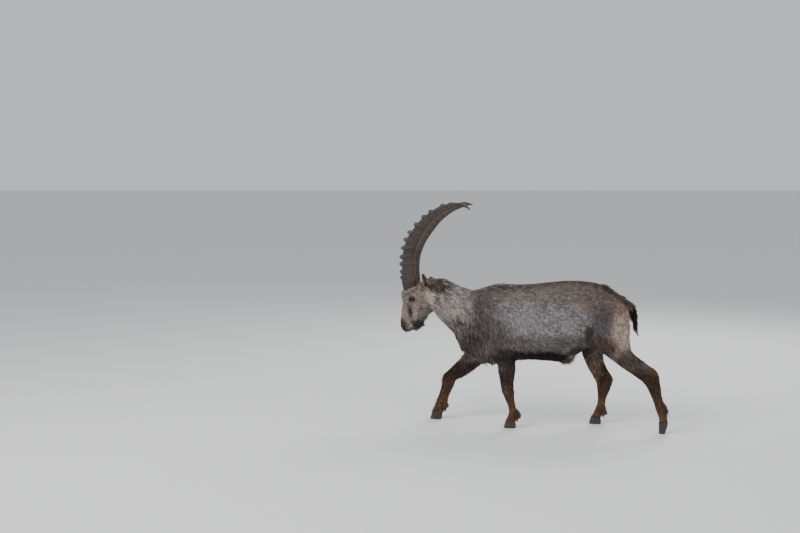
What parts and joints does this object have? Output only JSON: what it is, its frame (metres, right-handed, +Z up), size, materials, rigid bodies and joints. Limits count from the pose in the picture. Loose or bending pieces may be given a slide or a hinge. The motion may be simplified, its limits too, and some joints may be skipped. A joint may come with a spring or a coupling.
{
  "type": "alpine ibex",
  "caption": "Life-size standing model of an adult male mountain goat with long ridged back-curved horns, in a walking pose.",
  "frame": {"origin": "on the floor, under the middle of the overall box of the animal with its horns and feet", "axes": "+Z up, the animal faces -X with its left side towards -Y; the body's midplane is y = 0"},
  "size_m": [1.6125, 0.362, 1.3536],
  "materials": {
    "coat": "short dense matt hair, grey-brown, paler on the rump and cheeks and darker on the legs and chest",
    "tail_coat": "longer matt blackish-brown hair",
    "horn": "dry brown-grey horn with fine grooves",
    "hoof": "dull blackish horn",
    "eye": "wet, dark amber"
  },
  "bodies": {
    "root": {"torso": "coat", "neck": "coat", "head": "coat", "tail": "tail_coat", "foreleg_left": "coat", "foreleg_right": "coat", "hindleg_left": "coat", "hindleg_right": "coat", "ear_left": "coat", "horn_left": "horn", "eye_left": "eye", "ear_right": "coat", "horn_right": "horn", "eye_right": "eye", "hoof_fore_left_1": "hoof", "hoof_fore_left_2": "hoof", "dewclaw_fore_left_1": "hoof", "dewclaw_fore_left_2": "hoof", "hoof_fore_right_1": "hoof", "hoof_fore_right_2": "hoof", "dewclaw_fore_right_1": "hoof", "dewclaw_fore_right_2": "hoof", "hoof_hind_left_1": "hoof", "hoof_hind_left_2": "hoof", "dewclaw_hind_left_1": "hoof", "dewclaw_hind_left_2": "hoof", "hoof_hind_right_1": "hoof", "hoof_hind_right_2": "hoof", "dewclaw_hind_right_1": "hoof", "dewclaw_hind_right_2": "hoof"}
  },
  "joints": []
}
